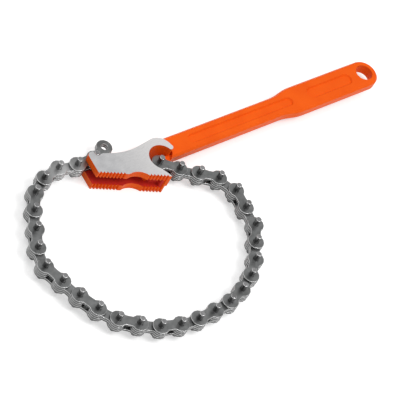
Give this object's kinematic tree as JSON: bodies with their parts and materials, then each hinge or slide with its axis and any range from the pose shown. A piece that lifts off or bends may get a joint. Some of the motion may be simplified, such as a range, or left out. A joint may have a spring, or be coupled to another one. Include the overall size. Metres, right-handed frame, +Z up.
{
  "type": "chain filter wrench",
  "caption": "Chain wrench for oil filters: a one-piece toothed head and long handle with a leaf chain anchored in the hook, its free pin resting in the head's notch.",
  "frame": {"origin": "on the lower ground face of the head, on the handle's centre line, in the plane that the tool lies on", "axes": "+X along the handle towards its hanging hole, -Y towards the teeth and the chain's loop, +Z up through the head's thickness"},
  "size_m": [0.4527, 0.1995, 0.0254],
  "materials": {
    "enamel": "gloss enamel, with the head's two side faces ground bare",
    "chain": "oiled steel",
    "pins": "ground steel"
  },
  "bodies": {
    "tool": {"tool_body": "enamel"},
    "outer_link_01": {"outer_plates_01": "chain", "link_pins_01": "pins"},
    "inner_link_01": {"inner_plates_01": "chain"},
    "outer_link_02": {"outer_plates_02": "chain", "link_pins_02": "pins"},
    "inner_link_02": {"inner_plates_02": "chain"},
    "outer_link_03": {"outer_plates_03": "chain", "link_pins_03": "pins"},
    "inner_link_03": {"inner_plates_03": "chain"},
    "outer_link_04": {"outer_plates_04": "chain", "link_pins_04": "pins"},
    "inner_link_04": {"inner_plates_04": "chain"},
    "outer_link_05": {"outer_plates_05": "chain", "link_pins_05": "pins"},
    "inner_link_05": {"inner_plates_05": "chain"},
    "outer_link_06": {"outer_plates_06": "chain", "link_pins_06": "pins"},
    "inner_link_06": {"inner_plates_06": "chain"},
    "outer_link_07": {"outer_plates_07": "chain", "link_pins_07": "pins"},
    "inner_link_07": {"inner_plates_07": "chain"},
    "outer_link_08": {"outer_plates_08": "chain", "link_pins_08": "pins"},
    "inner_link_08": {"inner_plates_08": "chain"},
    "outer_link_09": {"outer_plates_09": "chain", "link_pins_09": "pins"},
    "inner_link_09": {"inner_plates_09": "chain"},
    "outer_link_10": {"outer_plates_10": "chain", "link_pins_10": "pins"},
    "inner_link_10": {"inner_plates_10": "chain"},
    "outer_link_11": {"outer_plates_11": "chain", "link_pins_11": "pins"},
    "inner_link_11": {"inner_plates_11": "chain"},
    "outer_link_12": {"outer_plates_12": "chain", "link_pins_12": "pins"},
    "inner_link_12": {"inner_plates_12": "chain"},
    "outer_link_13": {"outer_plates_13": "chain", "link_pins_13": "pins"},
    "inner_link_13": {"inner_plates_13": "chain"},
    "outer_link_14": {"outer_plates_14": "chain", "link_pins_14": "pins"},
    "inner_link_14": {"inner_plates_14": "chain"},
    "outer_link_15": {"outer_plates_15": "chain", "link_pins_15": "pins"},
    "inner_link_15": {"inner_plates_15": "chain"}
  },
  "joints": [
    {"name": "chain_pin_01", "type": "hinge", "parent": "tool", "child": "outer_link_01", "pos_m": [0.0345, -0.0103, 0.0127], "axis": [0, 0, 1], "range_deg": [-13.6, 0]},
    {"name": "chain_pin_02", "type": "hinge", "parent": "outer_link_01", "child": "inner_link_01", "pos_m": [0.04888, -0.0228, 0.0127], "axis": [0, 0, 1], "range_deg": [-29.71, 0]},
    {"name": "chain_pin_03", "type": "hinge", "parent": "inner_link_01", "child": "outer_link_02", "pos_m": [0.06429, -0.034, 0.0127], "axis": [0, 0, 1], "range_deg": [-29.71, 0]},
    {"name": "chain_pin_04", "type": "hinge", "parent": "outer_link_02", "child": "inner_link_02", "pos_m": [0.0795, -0.04546, 0.0127], "axis": [0, 0, 1], "range_deg": [-6.81, 0]},
    {"name": "chain_pin_05", "type": "hinge", "parent": "inner_link_02", "child": "outer_link_03", "pos_m": [0.08695, -0.063, 0.0127], "axis": [0, 0, 1], "range_deg": [-6.81, 0]},
    {"name": "chain_pin_06", "type": "hinge", "parent": "outer_link_03", "child": "inner_link_03", "pos_m": [0.0843, -0.08186, 0.0127], "axis": [0, 0, 1], "range_deg": [-6.81, 0]},
    {"name": "chain_pin_07", "type": "hinge", "parent": "inner_link_03", "child": "outer_link_04", "pos_m": [0.08164, -0.10072, 0.0127], "axis": [0, 0, 1], "range_deg": [-6.81, 0]},
    {"name": "chain_pin_08", "type": "hinge", "parent": "outer_link_04", "child": "inner_link_04", "pos_m": [0.07018, -0.11594, 0.0127], "axis": [0, 0, 1], "range_deg": [-6.81, 0]},
    {"name": "chain_pin_09", "type": "hinge", "parent": "inner_link_04", "child": "outer_link_05", "pos_m": [0.05845, -0.13095, 0.0127], "axis": [0, 0, 1], "range_deg": [-6.81, 0]},
    {"name": "chain_pin_10", "type": "hinge", "parent": "outer_link_05", "child": "inner_link_05", "pos_m": [0.04365, -0.14294, 0.0127], "axis": [0, 0, 1], "range_deg": [0, 1.61]},
    {"name": "chain_pin_11", "type": "hinge", "parent": "inner_link_05", "child": "outer_link_06", "pos_m": [0.02667, -0.15159, 0.0127], "axis": [0, 0, 1], "range_deg": [0, 1.61]},
    {"name": "chain_pin_12", "type": "hinge", "parent": "outer_link_06", "child": "inner_link_06", "pos_m": [0.00846, -0.15716, 0.0127], "axis": [0, 0, 1], "range_deg": [0, 1.61]},
    {"name": "chain_pin_13", "type": "hinge", "parent": "inner_link_06", "child": "outer_link_07", "pos_m": [-0.01049, -0.15915, 0.0127], "axis": [0, 0, 1], "range_deg": [0, 1.61]},
    {"name": "chain_pin_14", "type": "hinge", "parent": "outer_link_07", "child": "inner_link_07", "pos_m": [-0.02953, -0.15981, 0.0127], "axis": [0, 0, 1], "range_deg": [0, 1.61]},
    {"name": "chain_pin_15", "type": "hinge", "parent": "inner_link_07", "child": "outer_link_08", "pos_m": [-0.04847, -0.15782, 0.0127], "axis": [0, 0, 1], "range_deg": [0, 1.61]},
    {"name": "chain_pin_16", "type": "hinge", "parent": "outer_link_08", "child": "inner_link_08", "pos_m": [-0.06669, -0.15225, 0.0127], "axis": [0, 0, 1], "range_deg": [0, 1.61]},
    {"name": "chain_pin_17", "type": "hinge", "parent": "inner_link_08", "child": "outer_link_09", "pos_m": [-0.08285, -0.14216, 0.0127], "axis": [0, 0, 1], "range_deg": [0, 1.61]},
    {"name": "chain_pin_18", "type": "hinge", "parent": "outer_link_09", "child": "inner_link_09", "pos_m": [-0.09806, -0.13069, 0.0127], "axis": [0, 0, 1], "range_deg": [0, 1.61]},
    {"name": "chain_pin_19", "type": "hinge", "parent": "inner_link_09", "child": "outer_link_10", "pos_m": [-0.10871, -0.1149, 0.0127], "axis": [0, 0, 1], "range_deg": [0, 1.61]},
    {"name": "chain_pin_20", "type": "hinge", "parent": "outer_link_10", "child": "inner_link_10", "pos_m": [-0.11646, -0.0975, 0.0127], "axis": [0, 0, 1], "range_deg": [0, 1.61]},
    {"name": "chain_pin_21", "type": "hinge", "parent": "inner_link_10", "child": "outer_link_11", "pos_m": [-0.12266, -0.07948, 0.0127], "axis": [0, 0, 1], "range_deg": [0, 1.61]},
    {"name": "chain_pin_22", "type": "hinge", "parent": "outer_link_11", "child": "inner_link_11", "pos_m": [-0.12855, -0.06137, 0.0127], "axis": [0, 0, 1], "range_deg": [0, 12.81]},
    {"name": "chain_pin_23", "type": "hinge", "parent": "inner_link_11", "child": "outer_link_12", "pos_m": [-0.12424, -0.04281, 0.0127], "axis": [0, 0, 1], "range_deg": [0, 12.81]},
    {"name": "chain_pin_24", "type": "hinge", "parent": "outer_link_12", "child": "inner_link_12", "pos_m": [-0.1148, -0.02626, 0.0127], "axis": [0, 0, 1], "range_deg": [0, 12.81]},
    {"name": "chain_pin_25", "type": "hinge", "parent": "inner_link_12", "child": "outer_link_13", "pos_m": [-0.10557, -0.0096, 0.0127], "axis": [0, 0, 1], "range_deg": [0, 12.81]},
    {"name": "chain_pin_26", "type": "hinge", "parent": "outer_link_13", "child": "inner_link_13", "pos_m": [-0.0941, 0.00561, 0.0127], "axis": [0, 0, 1], "range_deg": [0, 12.81]},
    {"name": "chain_pin_27", "type": "hinge", "parent": "inner_link_13", "child": "outer_link_14", "pos_m": [-0.07777, 0.01542, 0.0127], "axis": [0, 0, 1], "range_deg": [0, 12.41]},
    {"name": "chain_pin_28", "type": "hinge", "parent": "outer_link_14", "child": "inner_link_14", "pos_m": [-0.05921, 0.01971, 0.0127], "axis": [0, 0, 1], "range_deg": [0, 12.41]},
    {"name": "chain_pin_29", "type": "hinge", "parent": "inner_link_14", "child": "outer_link_15", "pos_m": [-0.04045, 0.0164, 0.0127], "axis": [0, 0, 1], "range_deg": [0, 12.41]},
    {"name": "chain_pin_30", "type": "hinge", "parent": "outer_link_15", "child": "inner_link_15", "pos_m": [-0.0214, 0.0164, 0.0127], "axis": [0, 0, 1], "range_deg": [-30, 75]}
  ],
  "couplings": [
    {"joint": "chain_pin_02", "follows": "chain_pin_01", "ratio": 2.1838},
    {"joint": "chain_pin_03", "follows": "chain_pin_01", "ratio": 2.1838},
    {"joint": "chain_pin_04", "follows": "chain_pin_01", "ratio": 0.5},
    {"joint": "chain_pin_05", "follows": "chain_pin_01", "ratio": 0.5},
    {"joint": "chain_pin_06", "follows": "chain_pin_01", "ratio": 0.5},
    {"joint": "chain_pin_07", "follows": "chain_pin_01", "ratio": 0.5},
    {"joint": "chain_pin_08", "follows": "chain_pin_01", "ratio": 0.5},
    {"joint": "chain_pin_09", "follows": "chain_pin_01", "ratio": 0.5},
    {"joint": "chain_pin_10", "follows": "chain_pin_01", "ratio": -0.11765},
    {"joint": "chain_pin_11", "follows": "chain_pin_01", "ratio": -0.11765},
    {"joint": "chain_pin_12", "follows": "chain_pin_01", "ratio": -0.11765},
    {"joint": "chain_pin_13", "follows": "chain_pin_01", "ratio": -0.11765},
    {"joint": "chain_pin_14", "follows": "chain_pin_01", "ratio": -0.11765},
    {"joint": "chain_pin_15", "follows": "chain_pin_01", "ratio": -0.11765},
    {"joint": "chain_pin_16", "follows": "chain_pin_01", "ratio": -0.11765},
    {"joint": "chain_pin_17", "follows": "chain_pin_01", "ratio": -0.11765},
    {"joint": "chain_pin_18", "follows": "chain_pin_01", "ratio": -0.11765},
    {"joint": "chain_pin_19", "follows": "chain_pin_01", "ratio": -0.11765},
    {"joint": "chain_pin_20", "follows": "chain_pin_01", "ratio": -0.11765},
    {"joint": "chain_pin_21", "follows": "chain_pin_01", "ratio": -0.11765},
    {"joint": "chain_pin_22", "follows": "chain_pin_01", "ratio": -0.94118},
    {"joint": "chain_pin_23", "follows": "chain_pin_01", "ratio": -0.94118},
    {"joint": "chain_pin_24", "follows": "chain_pin_01", "ratio": -0.94118},
    {"joint": "chain_pin_25", "follows": "chain_pin_01", "ratio": -0.94118},
    {"joint": "chain_pin_26", "follows": "chain_pin_01", "ratio": -0.94118},
    {"joint": "chain_pin_27", "follows": "chain_pin_01", "ratio": -0.91177},
    {"joint": "chain_pin_28", "follows": "chain_pin_01", "ratio": -0.91177},
    {"joint": "chain_pin_29", "follows": "chain_pin_01", "ratio": -0.91177}
  ]
}
